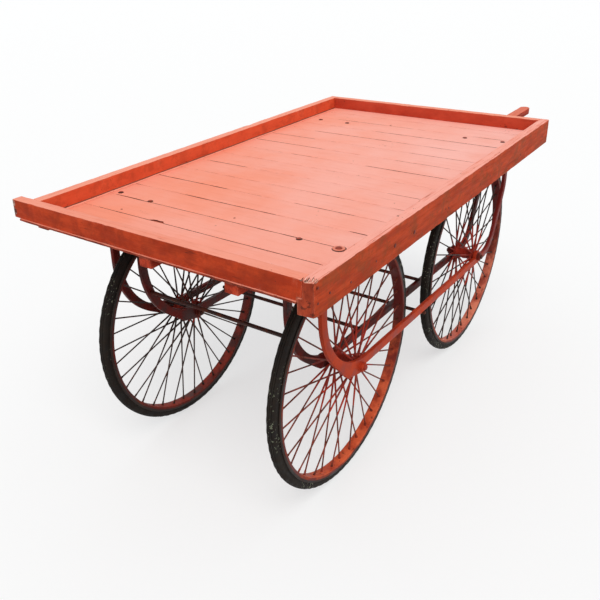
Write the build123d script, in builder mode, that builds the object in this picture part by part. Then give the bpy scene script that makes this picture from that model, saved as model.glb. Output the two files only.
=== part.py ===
from build123d import *
from collections import namedtuple
from math import acos, atan2, cos, degrees, pi, radians, sin
import os

# A four-wheeled hand cart: a flat plank deck with low rims, carried on four wire wheels.
# Millimetres. X runs along the deck, with the pushing shaft at +X. Y is across it, with the
# left side at +Y. Z is up, and the wheels stand on Z = 0. The pieces are worked out round the
# middle of the deck, and save() moves them to the cart's origin, which is on the ground under
# the middle of its overall outline, shaft and overhanging front board included.

# Deck. Its overhangs are measured from the axles, and its length and height follow from the wheels.
deck_width = 950.0
front_overhang = 436.0
rear_overhang = 305.0
wheel_gap = 153.0
wheel_headroom = 8.0
plank_thickness = 15.0
plank_width = 104.0
least_plank_width = 25.0
plank_seam = 2.3
plank_end_gap = 0.3
nosing_step = 3.0
nosing_overhang = 29.0
nosing_thickness = 6.5

# Rim boards and side rails
rim_height = 45.0
board_thickness = 32.0
front_board_overhang = 52.0
rail_foot_width = 44.0

# Beams under the planks. The inner ones carry the inner bars, whose middles they miss by a little.
beam_width = 40.0
beam_depth = 27.0
inner_beam_shift = 6.0
middle_beam_y = 17.0
left_beam_setback = 88.0
shaft_reach = 455.0
shaft_tip_chamfer = 14.0
bearer_width = 60.0

# Wheels
tyre_radius = 381.0
tyre_width = 27.0
tyre_crown = 8.0
tyre_side_height = 23.0
tyre_seat_gap = 0.3
rim_width = 34.0
rim_depth = 16.0
rim_base = 4.0
rim_lip = 3.0
wheel_offset = 305.5

# Hubs and spokes
barrel_radius = 20.0
boss_radius = 17.0
flange_radius = 33.0
flange_thickness = 7.0
flange_offset = 31.5
spoke_count = 40
spoke_radius = 2.2
spoke_seat = 0.3
spoke_rim_offset = 2.0

# Axles
axle_radius = 8.0
axle_clearance = 0.05
hub_side_gap = 0.5
eye_clearance = 0.1
nut_flats = 24.0
nut_thickness = 12.0
axle_end = 6.0

# Bearing bars, which hang under the deck on both sides of each pair of wheels. Their hangers and
# bends are measured along the cart from the nearer axle. They are forged by hand, so the front
# hangers differ.
bar_spacing = 46.0
bar_width = 12.0
bar_depth = 26.0
front_bar_rise = 7.0
rear_bar_drop = 16.0
eye_radius = 22.0
paddle_reach = 60.0
paddle_rise = 16.0
left_outer_reach = 240.0
inner_reach = 222.0
right_outer_reach = 201.0
front_hanger_radius = 245.0
rear_hanger_reach = 239.0
rear_bend_reach = 132.0
rear_bend_radius = 110.0
rear_slope_z = 590.0
rear_slope_radius = 150.0
foot_length = 80.0
foot_width = 28.0
foot_thickness = 6.0

# Cross ties between the bars. The first two are measured from the front axle, the last from the
# rear one.
tie_radius = 6.0
tie_seat = 0.2
tie_overhang = 6.0
hanger_tie_z = 540.0
front_tie_reach = 152.0
middle_tie_reach = 432.0
rear_tie_reach = 331.0

# Places worked out from the sizes above
deck_length = front_overhang + 2 * tyre_radius + wheel_gap + rear_overhang
deck_end = deck_length / 2
deck_side = deck_width / 2
beam_bottom = 2 * tyre_radius + wheel_headroom
beam_top = beam_bottom + beam_depth
deck_height = beam_top + plank_thickness
rail_top = deck_height + rim_height
inner_bar_y = wheel_offset - bar_spacing
outer_bar_y = wheel_offset + bar_spacing
inner_beam_y = inner_bar_y - inner_beam_shift
axle_height = tyre_radius
front_level = axle_height + front_bar_rise
rear_level = axle_height - rear_bar_drop
front_axle_x = front_overhang - deck_end
rear_axle_x = deck_end - rear_overhang
rear_hanger_x = rear_axle_x + rear_hanger_reach
rear_bend_x = rear_axle_x + rear_bend_reach
rim_radius = tyre_radius - tyre_side_height
rim_bore = rim_radius - rim_depth
channel_floor = rim_bore + rim_base
hub_half = bar_spacing - bar_width / 2 - hub_side_gap
foot_top = beam_bottom

Wheel = namedtuple("Wheel", "name x y phase")
wheels = [
    Wheel("front_left", front_axle_x, wheel_offset, 0.3),
    Wheel("front_right", front_axle_x, -wheel_offset, 12.5),
    Wheel("rear_left", rear_axle_x, wheel_offset, 6.0),
    Wheel("rear_right", rear_axle_x, -wheel_offset, 1.5),
]

deck_middle_x = (nosing_step - shaft_reach) / 2
deck_middle_y = -front_board_overhang / 2

os.makedirs("parts", exist_ok=True)


def save(builder, label):
    with BuildPart() as piece:
        with Locations((deck_middle_x, deck_middle_y, 0)):
            add(builder.part)
    piece.part.label = label
    export_step(piece.part, f"parts/{label}.step")


# Deck planks, laid across the cart from the rear end and nailed down on the beams. The front one
# is ripped to the width that is left behind the front board. A thin nosing lies under that board
# and runs on past the left side.
plank_pitch = plank_width + plank_seam
board_back = -deck_end + board_thickness
planks_front = board_back + plank_end_gap
plank_span = deck_end - planks_front
full_planks = int((plank_span - least_plank_width) // plank_pitch)
plank_length = deck_width - 2 * rail_foot_width - 2 * plank_end_gap
nosing_end = deck_side + nosing_overhang
plank_edges = [(deck_end - (i + 1) * plank_pitch + plank_seam, plank_width)
               for i in range(full_planks)]
plank_edges.append((planks_front, plank_span - full_planks * plank_pitch))
with BuildPart() as deck_planks:
    for edge, width in plank_edges:
        with Locations((edge, 0, beam_top)):
            Box(width, plank_length, plank_thickness,
                align=(Align.MIN, Align.CENTER, Align.MIN))
    with Locations((-deck_end - nosing_step, -plank_length / 2, beam_top)):
        Box(board_thickness + nosing_step, plank_length / 2 + nosing_end, nosing_thickness,
            align=(Align.MIN, Align.MIN, Align.MIN))
save(deck_planks, "deck_planks")

# Side rails: a deep foot beside the plank ends and a thinner rim above the deck. The left one
# stops behind the front board and the nosing.
Rail = namedtuple("Rail", "name side start")
rails = [
    Rail("side_rail_left", 1, planks_front),
    Rail("side_rail_right", -1, -deck_end),
]
for rail in rails:
    with BuildPart() as side_rail:
        with BuildSketch(Plane.YZ.offset(rail.start)):
            with Locations((rail.side * (deck_side - rail_foot_width / 2), beam_bottom)):
                Rectangle(rail_foot_width, deck_height - beam_bottom,
                          align=(Align.CENTER, Align.MIN))
            with Locations((rail.side * (deck_side - board_thickness / 2), beam_bottom)):
                Rectangle(board_thickness, rail_top - beam_bottom,
                          align=(Align.CENTER, Align.MIN))
        extrude(amount=deck_end - rail.start)
    save(side_rail, rail.name)

# The rear board stands on the last plank. The front one is longer than the deck is wide, stands on
# the nosing, and is notched at its right end to clear the side rail's foot.
rim_inside = deck_side - board_thickness
with BuildPart() as rear_board:
    with Locations((deck_end - board_thickness, 0, deck_height)):
        Box(board_thickness, 2 * rim_inside, rim_height,
            align=(Align.MIN, Align.CENTER, Align.MIN))
save(rear_board, "rear_board")

nosing_top = beam_top + nosing_thickness
front_board_end = deck_side + front_board_overhang
with BuildPart() as front_board:
    with Locations((-deck_end, -rim_inside, nosing_top)):
        Box(board_thickness, rim_inside + front_board_end, rail_top - nosing_top,
            align=(Align.MIN, Align.MIN, Align.MIN))
    with Locations((-deck_end, -plank_length / 2, deck_height)):
        Box(board_thickness, rail_foot_width, deck_height - nosing_top,
            align=(Align.MIN, Align.MAX, Align.MAX), mode=Mode.SUBTRACT)
save(front_board, "front_board")

# Long beams under the planks. The right inner one runs on past the deck as the pushing shaft.
Beam = namedtuple("Beam", "name y start end")
beams = [
    Beam("beam_inner_left", inner_beam_y, -deck_end + left_beam_setback, deck_end),
    Beam("beam_middle", middle_beam_y, -deck_end, deck_end),
    Beam("beam_inner_right", -inner_beam_y, -deck_end, deck_end + shaft_reach),
]
for beam in beams:
    with BuildPart() as long_beam:
        with Locations((beam.start, beam.y, beam_bottom)):
            Box(beam.end - beam.start, beam_width, beam_depth,
                align=(Align.MIN, Align.CENTER, Align.MIN))
        if beam.end > deck_end:
            tip_edges = long_beam.faces().sort_by(Axis.X)[-1].edges().filter_by(Axis.Z)
            chamfer(tip_edges, length=shaft_tip_chamfer)
    save(long_beam, beam.name)

# Cross bearers carry the outer bars between a side rail and an inner beam.
bearer_inside = inner_beam_y + beam_width / 2
bearer_outside = deck_side - rail_foot_width
Bearer = namedtuple("Bearer", "name x side")
bearers = [
    Bearer("cross_bearer_front_left", front_axle_x - left_outer_reach, 1),
    Bearer("cross_bearer_front_right", front_axle_x - right_outer_reach, -1),
    Bearer("cross_bearer_rear_left", rear_hanger_x, 1),
    Bearer("cross_bearer_rear_right", rear_hanger_x, -1),
]
for bearer in bearers:
    with BuildPart() as cross_bearer:
        with Locations((bearer.x, bearer.side * (bearer_inside + bearer_outside) / 2,
                        beam_bottom)):
            Box(bearer_width, bearer_outside - bearer_inside, beam_depth,
                align=(Align.CENTER, Align.CENTER, Align.MIN))
    save(cross_bearer, bearer.name)

# Bearing bars: each one comes down from the deck, runs nearly level past both axles and goes up
# again. It has a round eye for each axle, widened to a paddle in front of the front one, and a flat
# foot at each end.
bar_fall = (front_level - rear_level) / (rear_axle_x - front_axle_x)


def bar_level(x):
    return front_level - bar_fall * (x - front_axle_x)


def hanger_bend(hanger_x):
    middle_x = hanger_x + front_hanger_radius
    return Vector(middle_x,
                  bar_level(middle_x) + front_hanger_radius * (1 + bar_fall**2) ** 0.5)


axle_places = [(front_axle_x, axle_height), (rear_axle_x, axle_height)]
paddle_tip = Vector(front_axle_x - paddle_reach, axle_height + paddle_rise)
paddle_middle = (front_axle_x - paddle_reach / 2, axle_height + paddle_rise / 2)
paddle_length = (paddle_reach**2 + paddle_rise**2) ** 0.5
paddle_turn = -degrees(atan2(paddle_rise, paddle_reach))
hanger_outside = front_hanger_radius + bar_depth / 2
Bar = namedtuple("Bar", "name y reach")
bars = [
    Bar("bearing_bar_left_outer", outer_bar_y, left_outer_reach),
    Bar("bearing_bar_left_inner", inner_bar_y, inner_reach),
    Bar("bearing_bar_right_inner", -inner_bar_y, inner_reach),
    Bar("bearing_bar_right_outer", -outer_bar_y, right_outer_reach),
]
for bar in bars:
    hanger_x = front_axle_x - bar.reach
    bar_corners = [
        (hanger_x, foot_top),
        (hanger_x, bar_level(hanger_x)),
        (rear_bend_x, bar_level(rear_bend_x)),
        (rear_hanger_x, rear_slope_z),
        (rear_hanger_x, foot_top),
    ]
    # The hanger's outer edge runs into the paddle along the straight line that touches both.
    bend = hanger_bend(hanger_x)
    tip_way = paddle_tip - bend
    flare_angle = (atan2(tip_way.Y, tip_way.X)
                   - acos((hanger_outside - eye_radius) / tip_way.length))
    outward = Vector(cos(flare_angle), sin(flare_angle))
    flare = [
        bend + outward * front_hanger_radius,
        bend + outward * hanger_outside,
        paddle_tip + outward * eye_radius,
        paddle_tip,
    ]
    with BuildPart() as bearing_bar:
        with BuildSketch(Plane.XZ.offset(-bar.y)):
            with BuildLine():
                FilletPolyline(*bar_corners,
                               radius=[front_hanger_radius, rear_bend_radius, rear_slope_radius])
            trace(line_width=bar_depth)
            Polygon(*[(corner.X, corner.Y) for corner in flare], align=None)
            with Locations(paddle_middle):
                SlotCenterToCenter(paddle_length, 2 * eye_radius, rotation=paddle_turn)
            with Locations(*axle_places):
                Circle(eye_radius)
                Circle(axle_radius + eye_clearance, mode=Mode.SUBTRACT)
        extrude(amount=bar_width / 2, both=True)
        with Locations((hanger_x, bar.y, foot_top), (rear_hanger_x, bar.y, foot_top)):
            Box(foot_length, foot_width, foot_thickness,
                align=(Align.CENTER, Align.CENTER, Align.MAX))
    save(bearing_bar, bar.name)

# Cross ties. Two lie on the inner bars, one goes under all four bars between the wheels, and
# one stands between the inner bars' hangers at each end.
tie_lift = bar_depth / 2 + tie_seat + tie_radius
front_tie_x = front_axle_x + front_tie_reach
middle_tie_x = front_axle_x + middle_tie_reach
rear_tie_x = rear_axle_x - rear_tie_reach
inner_tie_half = inner_bar_y + bar_width / 2 + tie_overhang
outer_tie_half = outer_bar_y + bar_width / 2 + tie_overhang
hanger_tie_half = inner_bar_y - bar_width / 2 - tie_seat
inner_bend = hanger_bend(front_axle_x - inner_reach)
bend_drop = inner_bend.Y - hanger_tie_z
front_hanger_tie_x = inner_bend.X - (front_hanger_radius**2 - bend_drop**2) ** 0.5
bend_z = bar_level(rear_bend_x)
slope_share = (hanger_tie_z - bend_z) / (rear_slope_z - bend_z)
rear_hanger_tie_x = rear_bend_x + slope_share * (rear_hanger_x - rear_bend_x)
Tie = namedtuple("Tie", "name x z half")
ties = [
    Tie("cross_tie_front", front_tie_x, bar_level(front_tie_x) + tie_lift, inner_tie_half),
    Tie("cross_tie_middle", middle_tie_x, bar_level(middle_tie_x) - tie_lift, outer_tie_half),
    Tie("cross_tie_rear", rear_tie_x, bar_level(rear_tie_x) + tie_lift, inner_tie_half),
    Tie("hanger_tie_front", front_hanger_tie_x, hanger_tie_z, hanger_tie_half),
    Tie("hanger_tie_rear", rear_hanger_tie_x, hanger_tie_z, hanger_tie_half),
]
for tie in ties:
    with BuildPart() as cross_tie:
        with BuildSketch(Plane.XZ):
            with Locations((tie.x, tie.z)):
                Circle(tie_radius)
        extrude(amount=tie.half, both=True)
    save(cross_tie, tie.name)

# Wheel pieces, made once round the Y axis. A section's first coordinate is along the axle, and
# its second one is the radius.
with BuildPart() as tyre:
    with BuildSketch(Plane.YZ) as tyre_section:
        with Locations((0, channel_floor + tyre_seat_gap)):
            Rectangle(tyre_width, tyre_radius - channel_floor - tyre_seat_gap,
                      align=(Align.CENTER, Align.MIN))
        fillet(tyre_section.vertices().group_by(Axis.Z)[-1], radius=tyre_crown)
    revolve(axis=Axis.Y)

with BuildPart() as rim:
    with BuildSketch(Plane.YZ):
        with Locations((0, rim_bore)):
            Rectangle(rim_width, rim_depth, align=(Align.CENTER, Align.MIN))
        with Locations((0, channel_floor)):
            Rectangle(rim_width - 2 * rim_lip, rim_depth, align=(Align.CENTER, Align.MIN),
                      mode=Mode.SUBTRACT)
    revolve(axis=Axis.Y)

hub_bore = axle_radius + axle_clearance
with BuildPart() as hub:
    with BuildSketch(Plane.YZ):
        with Locations((0, hub_bore)):
            Rectangle(2 * hub_half, boss_radius - hub_bore, align=(Align.CENTER, Align.MIN))
            Rectangle(2 * flange_offset, barrel_radius - hub_bore,
                      align=(Align.CENTER, Align.MIN))
        with Locations((-flange_offset, hub_bore), (flange_offset, hub_bore)):
            Rectangle(flange_thickness, flange_radius - hub_bore,
                      align=(Align.CENTER, Align.MIN))
    revolve(axis=Axis.Y)


# Spokes: they run straight out, in turn from the edge of one flange and of the other one, and
# slant inwards to the middle of the rim.
spoke_start = flange_radius + spoke_radius * flange_offset / rim_bore + spoke_seat
spoke_finish = rim_bore - 2 * spoke_seat
with BuildPart() as spokes:
    for i in range(spoke_count):
        turn = radians(i * 360 / spoke_count)
        side = 1 if i % 2 else -1
        ray = Vector(sin(turn), 0, cos(turn))
        start = ray * spoke_start + Vector(0, side * flange_offset, 0)
        finish = ray * spoke_finish + Vector(0, side * spoke_rim_offset, 0)
        with BuildSketch(Plane(origin=start, z_dir=finish - start)):
            Circle(spoke_radius)
        extrude(amount=(finish - start).length)

axle_half = bar_spacing + bar_width / 2 + nut_thickness + axle_end
with BuildPart() as axle:
    with BuildSketch(Plane.XZ):
        Circle(axle_radius)
    extrude(amount=axle_half, both=True)

nut_across = nut_flats / (2 * cos(pi / 6))
nut_face = bar_spacing + bar_width / 2
with BuildPart() as axle_nuts:
    for side in (1, -1):
        with BuildSketch(Plane.XZ.offset(side * nut_face)):
            RegularPolygon(nut_across, 6)
            Circle(axle_radius + eye_clearance, mode=Mode.SUBTRACT)
        extrude(amount=side * nut_thickness)

wheel_pieces = {
    "tyre": tyre,
    "rim": rim,
    "spokes": spokes,
    "hub": hub,
    "axle": axle,
    "axle_nuts": axle_nuts,
}
for wheel in wheels:
    for piece_name, pattern in wheel_pieces.items():
        with BuildPart() as placed:
            with Locations((wheel.x, wheel.y, axle_height)):
                add(pattern.part, rotation=(0, wheel.phase, 0))
        save(placed, f"{piece_name}_{wheel.name}")
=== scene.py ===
# %% [markdown]
# # A four-wheeled hand cart
# The cart is a flat plank deck with a low rim, carried on four wire wheels that hang between bent
# iron bars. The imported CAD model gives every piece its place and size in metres. This script
# dresses it: each piece is built here in mesh code with rounded edges, wear and finer parts, gets
# its paint, rust or grain, and stands in the place of its CAD solid.

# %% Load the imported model
import bmesh
import bpy
from math import cos, pi, radians, sin
from mathutils import Matrix, Vector, noise


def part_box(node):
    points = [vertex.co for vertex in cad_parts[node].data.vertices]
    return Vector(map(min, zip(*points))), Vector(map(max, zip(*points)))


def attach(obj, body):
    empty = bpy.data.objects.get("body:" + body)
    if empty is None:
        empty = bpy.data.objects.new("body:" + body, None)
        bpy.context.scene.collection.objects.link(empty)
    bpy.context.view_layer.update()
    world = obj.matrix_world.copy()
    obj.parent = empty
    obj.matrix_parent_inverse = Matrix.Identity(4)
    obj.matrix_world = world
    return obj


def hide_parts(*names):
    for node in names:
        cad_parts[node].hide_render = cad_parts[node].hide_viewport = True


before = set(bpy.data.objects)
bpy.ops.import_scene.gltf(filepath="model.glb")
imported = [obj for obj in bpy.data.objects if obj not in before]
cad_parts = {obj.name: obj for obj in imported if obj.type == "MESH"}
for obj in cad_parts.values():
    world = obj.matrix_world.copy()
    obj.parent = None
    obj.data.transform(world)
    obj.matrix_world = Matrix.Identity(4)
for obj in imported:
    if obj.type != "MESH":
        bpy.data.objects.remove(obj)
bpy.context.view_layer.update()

# %% [markdown]
# ## Camera
# The cart is seen from in front of its near corner, from about the height of a standing person's
# eyes. The camera is placed by its direction: yaw round Z, pitch down, and a slight roll. Its axes
# are the columns of a rotation matrix, which is plainer than three Euler angles. The lens is set
# from the focal length in pixels of a square frame 600 pixels wide.

# %% Camera
frame_pixels = 600
focal_pixels = 707.6
camera_place = Vector((-2.1547, -1.1967, 1.4965))
camera_yaw, camera_pitch, camera_roll = 0.6321, 0.4239, -0.0296
camera_shift = (0.0501, -0.0653)
sensor_mm = 36

look = Vector((cos(camera_yaw) * cos(camera_pitch), sin(camera_yaw) * cos(camera_pitch),
               -sin(camera_pitch)))
right = look.cross(Vector((0, 0, 1))).normalized()
up = right.cross(look)
right, up = (right * cos(camera_roll) + up * sin(camera_roll),
             up * cos(camera_roll) - right * sin(camera_roll))
camera = bpy.data.objects.new("camera", bpy.data.cameras.new("camera"))
bpy.context.scene.collection.objects.link(camera)
camera_turn = Matrix((right, up, -look)).transposed().to_4x4()
camera.matrix_world = Matrix.Translation(camera_place) @ camera_turn
camera.data.sensor_width = sensor_mm
camera.data.lens = sensor_mm * focal_pixels / frame_pixels
camera.data.shift_x, camera.data.shift_y = camera_shift
camera.data.clip_end = 200
bpy.context.scene.camera = camera
bpy.context.scene.view_settings.view_transform = "Standard"
print("lens", round(camera.data.lens, 2), "mm")

# %% [markdown]
# ## Floor, sky and lamps
# The cart stands on a plain pale floor under an even sky, with one wide soft sun. The floor looks
# nearly white to the camera and in reflections, but it throws back less than half of its light, so
# the ironwork under the deck stays dark, as it does outdoors. A part of what the camera sees is
# the floor's own faint glow, which keeps the cart's shadow soft. Stronger lamps would whiten the
# floor too, but they would bleach the cart. The sky works the same way: the camera sees plain
# white, and the cart gets a softer light.

# %% What the camera sees directly
def seen_directly(tree):
    # one where a ray comes from the camera, or from it by a mirror or through glass
    path = tree.nodes.new("ShaderNodeLightPath")
    either = tree.nodes.new("ShaderNodeMath")
    either.operation = "MAXIMUM"
    tree.links.new(path.outputs["Is Camera Ray"], either.inputs[0])
    tree.links.new(path.outputs["Is Glossy Ray"], either.inputs[1])
    both = tree.nodes.new("ShaderNodeMath")
    both.operation = "MAXIMUM"
    tree.links.new(either.outputs[0], both.inputs[0])
    tree.links.new(path.outputs["Is Transmission Ray"], both.inputs[1])
    return both.outputs[0]


print("the floor and sky can tell the camera's rays from the rest")

# %% Floor
floor_half = 60.0
floor_seen = (0.39, 0.39, 0.39, 1)
floor_glow = 0.59
floor_bounce = (0.42, 0.41, 0.40, 1)
floor_mesh = bpy.data.meshes.new("floor")
floor_mesh.from_pydata([(-floor_half, -floor_half, 0), (floor_half, -floor_half, 0),
                        (floor_half, floor_half, 0), (-floor_half, floor_half, 0)], [],
                       [(0, 1, 2, 3)])
floor = bpy.data.objects.new("floor", floor_mesh)
bpy.context.scene.collection.objects.link(floor)
floor_paint = bpy.data.materials.new("studio_floor")
floor_paint.use_nodes = True
tree = floor_paint.node_tree
floor_shader = tree.nodes["Principled BSDF"]
floor_shader.inputs["Roughness"].default_value = 0.9
floor_shader.inputs["Specular IOR Level"].default_value = 0.1
floor_mix = tree.nodes.new("ShaderNodeMix")
floor_mix.data_type = "RGBA"
floor_mix.inputs[6].default_value = floor_bounce    # socket 6 is colour A
floor_mix.inputs[7].default_value = floor_seen      # and 7 is colour B
floor_is_seen = seen_directly(tree)
tree.links.new(floor_is_seen, floor_mix.inputs[0])
tree.links.new(floor_mix.outputs[2], floor_shader.inputs["Base Color"])
tree.links.new(floor_is_seen, floor_shader.inputs["Emission Color"])
floor_shader.inputs["Emission Strength"].default_value = floor_glow
floor_mesh.materials.append(floor_paint)
print("floor", 2 * floor_half, "m wide")

# %% Sky and sun
sky_colour = (0.93, 0.97, 1.0, 1)
sky_strength = 0.64
sun_colour = (1.0, 0.97, 0.93)
sun_strength = 1.45
sun_width = radians(40)
sun_tilt = (radians(34), 0, radians(-52))
sky = bpy.data.worlds.new("studio_sky")
bpy.context.scene.world = sky
sky.use_nodes = True
tree = sky.node_tree
sky_light = tree.nodes["Background"]
sky_light.inputs["Color"].default_value = sky_colour
sky_light.inputs["Strength"].default_value = sky_strength
sky_seen = tree.nodes.new("ShaderNodeBackground")
sky_seen.inputs["Color"].default_value = (1, 1, 1, 1)
sky_choice = tree.nodes.new("ShaderNodeMixShader")
tree.links.new(seen_directly(tree), sky_choice.inputs[0])
tree.links.new(sky_light.outputs[0], sky_choice.inputs[1])
tree.links.new(sky_seen.outputs[0], sky_choice.inputs[2])
tree.links.new(sky_choice.outputs[0], tree.nodes["World Output"].inputs["Surface"])

sun = bpy.data.objects.new("soft_sun", bpy.data.lights.new("soft_sun", "SUN"))
bpy.context.scene.collection.objects.link(sun)
sun.data.energy = sun_strength
sun.data.angle = sun_width
sun.data.color = sun_colour
sun.rotation_euler = sun_tilt
print("sky", sky_strength, "sun", sun_strength)

# %% [markdown]
# ## Small helpers for shader trees
# Most of this cart's surface is one red paint, aged in different ways. So the ageing effects are
# shader node groups: each is built once, has named inputs and outputs, and gives only masks,
# heights and colours. The helpers below keep the trees short to write. `colour` turns the usual
# 0 to 255 values into the linear ones that shaders use. `feed` wires an input where it is given a
# socket and sets it where it is given a value, and `put` adds a node and feeds it. `sums` does
# arithmetic, `between` mixes two colours, `spread` maps one range onto another, `stretched` scales
# a direction and `cloud` is a noise. `effect_group` starts a group, and `use` places one.

# %% Helpers for colours and nodes
def colour(red, green, blue):
    linear = [(v / 255 / 12.92) if v <= 10 else ((v / 255 + 0.055) / 1.055) ** 2.4
              for v in (red, green, blue)]
    return (*linear, 1)


def feed(tree, node, inputs):
    for key, value in inputs.items():
        if isinstance(value, bpy.types.NodeSocket):
            tree.links.new(value, node.inputs[key])
        else:
            node.inputs[key].default_value = value


def put(tree, kind, inputs=None, out=0, **settings):
    node = tree.nodes.new(kind)
    for key, value in settings.items():
        setattr(node, key, value)
    feed(tree, node, inputs or {})
    return node.outputs[out]


print("colour, feed and put ready")

# %% Helpers for the usual nodes
def sums(tree, operation, first, second=0.0, clamp=False):
    return put(tree, "ShaderNodeMath", {0: first, 1: second}, operation=operation, use_clamp=clamp)


def between(tree, factor, first, second):
    return put(tree, "ShaderNodeMix", {0: factor, 6: first, 7: second}, out=2, data_type="RGBA")


def spread(tree, value, low, high, to_low=0.0, to_high=1.0):
    # maps the range from low to high smoothly onto a new range, and stops at its ends
    return put(tree, "ShaderNodeMapRange", {0: value, 1: low, 2: high, 3: to_low, 4: to_high},
               interpolation_type="SMOOTHSTEP")


def stretched(tree, vector, scale, place=(0, 0, 0)):
    return put(tree, "ShaderNodeMapping", {"Vector": vector, "Scale": scale, "Location": place})


def cloud(tree, vector, scale, detail=3.0, roughness=0.55):
    return put(tree, "ShaderNodeTexNoise", {"Vector": vector, "Scale": scale, "Detail": detail,
                                            "Roughness": roughness})


print("sums, between, spread, stretched and cloud ready")

# %% Helpers for node groups
def effect_group(name, inputs, outputs):
    group = bpy.data.node_groups.new(name, "ShaderNodeTree")
    for label, kind, value in inputs:
        socket = group.interface.new_socket(label, in_out="INPUT", socket_type=kind)
        if value is not None:
            socket.default_value = value
    for label, kind in outputs:
        group.interface.new_socket(label, in_out="OUTPUT", socket_type=kind)
    given = group.nodes.new("NodeGroupInput").outputs
    result = group.nodes.new("NodeGroupOutput").inputs
    return group, given, result


def use(tree, group, inputs):
    node = tree.nodes.new("ShaderNodeGroup")
    node.node_tree = group
    feed(tree, node, inputs)
    return node.outputs


print("effect_group and use ready")

# %% [markdown]
# ## Effect: worn edges
# Paint goes first where hands, sacks and boxes rub, which is along every edge. A pointiness map
# needs a dense mesh, so this mask compares the true face direction with the Bevel node's rounded
# one: they differ only near an edge. A noise breaks the line up, because wear is never even.

# %% Worn edges
worn_edges, given, result = effect_group(
    "worn_edges",
    [("Vector", "NodeSocketVector", None), ("Width", "NodeSocketFloat", 0.003),
     ("Amount", "NodeSocketFloat", 1.0)],
    [("Mask", "NodeSocketFloat")])
rounded = put(worn_edges, "ShaderNodeBevel", {"Radius": given["Width"]}, samples=6)
facing = put(worn_edges, "ShaderNodeNewGeometry", out="True Normal")
match = put(worn_edges, "ShaderNodeVectorMath", {0: rounded, 1: facing}, out="Value",
            operation="DOT_PRODUCT")
edge = spread(worn_edges, match, 0.995, 0.86)
patchy = spread(worn_edges, cloud(worn_edges, given["Vector"], 38.0, 5.0, 0.65), 0.40, 0.62)
worn_edges.links.new(
    sums(worn_edges, "MULTIPLY", sums(worn_edges, "MULTIPLY", edge, patchy), given["Amount"], True),
    result["Mask"])
print("worn_edges", len(worn_edges.nodes), "nodes")

# %% [markdown]
# ## Effect: wood grain
# Paint on rough timber shows the grain as fine ridges along the board. An image of wood would
# repeat and would need unwrapping. Noise that is squeezed across the grain and stretched along it
# gives the ridges at two sizes, and a thin crack runs where a third noise passes its middle. The
# material sets the direction with its own mapping, so one group serves planks, rails and beams.

# %% Wood grain
wood_grain, given, result = effect_group(
    "wood_grain", [("Vector", "NodeSocketVector", None)],
    [("Grain", "NodeSocketFloat"), ("Cracks", "NodeSocketFloat")])
wide = cloud(wood_grain, given["Vector"], 1.0, 4.0, 0.6)
fine = cloud(wood_grain, stretched(wood_grain, given["Vector"], (4.0, 4.0, 4.0)), 1.0, 3.0, 0.6)
mixed = sums(wood_grain, "ADD", sums(wood_grain, "MULTIPLY", wide, 0.6),
             sums(wood_grain, "MULTIPLY", fine, 0.4))
wood_grain.links.new(mixed, result["Grain"])
split = cloud(wood_grain, stretched(wood_grain, given["Vector"], (0.7, 0.7, 0.7), (5, 3, 1)), 1.0,
              2.0, 0.5)
near_half = sums(wood_grain, "ABSOLUTE", sums(wood_grain, "SUBTRACT", split, 0.5))
thin = spread(wood_grain, near_half, 0.012, 0.002)
rare = spread(wood_grain, wide, 0.56, 0.66)
wood_grain.links.new(sums(wood_grain, "MULTIPLY", thin, rare), result["Cracks"])
print("wood_grain", len(wood_grain.nodes), "nodes")

# %% [markdown]
# ## Effect: brush strokes
# The paint was put on thick with a wide brush. Each stroke leaves a band that is a little darker
# or lighter, with bristle lines in it. The bands are stretched noise again, but softer and wider
# than the grain, and the group also gives a height for the bristle lines.

# %% Brush strokes
brush_strokes, given, result = effect_group(
    "brush_strokes", [("Vector", "NodeSocketVector", None)],
    [("Tone", "NodeSocketFloat"), ("Bristles", "NodeSocketFloat")])
band = cloud(brush_strokes, given["Vector"], 1.0, 2.0, 0.5)
bristle = cloud(brush_strokes, stretched(brush_strokes, given["Vector"], (5.0, 5.0, 5.0)), 1.0,
                3.0, 0.6)
brush_strokes.links.new(
    sums(brush_strokes, "ADD", sums(brush_strokes, "MULTIPLY", band, 0.7),
         sums(brush_strokes, "MULTIPLY", bristle, 0.3)), result["Tone"])
brush_strokes.links.new(bristle, result["Bristles"])
print("brush_strokes", len(brush_strokes.nodes), "nodes")

# %% [markdown]
# ## Effect: flaked spots
# Here and there a flake of paint has come off and left a dark spot. One fine noise alone would
# sprinkle the spots evenly, so a wide noise is added to it, and spots come in loose groups where
# the sum passes a level. A larger amount lowers that level.

# %% Flaked spots
flaked_spots, given, result = effect_group(
    "flaked_spots",
    [("Vector", "NodeSocketVector", None), ("Scale", "NodeSocketFloat", 60.0),
     ("Amount", "NodeSocketFloat", 0.5)],
    [("Mask", "NodeSocketFloat")])
groups = cloud(flaked_spots, given["Vector"], 7.0, 2.0)
spots = cloud(flaked_spots, given["Vector"], given["Scale"], 4.0, 0.6)
level = sums(flaked_spots, "SUBTRACT", 0.78, sums(flaked_spots, "MULTIPLY", given["Amount"], 0.2))
raised = sums(flaked_spots, "ADD", spots,
              sums(flaked_spots, "MULTIPLY", sums(flaked_spots, "SUBTRACT", groups, 0.5), 0.5))
flaked_spots.links.new(
    spread(flaked_spots, sums(flaked_spots, "SUBTRACT", raised, level), 0.0, 0.04), result["Mask"])
print("flaked_spots", len(flaked_spots.nodes), "nodes")

# %% [markdown]
# ## Effect: rust bloom
# Where iron shows through, it rusts in blotches that go from dark brown to orange. Rust is a
# colour and a crust at once, so one group gives its colour, where it is, and how much it stands
# proud of the paint. That keeps the three in step in each material.

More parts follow.
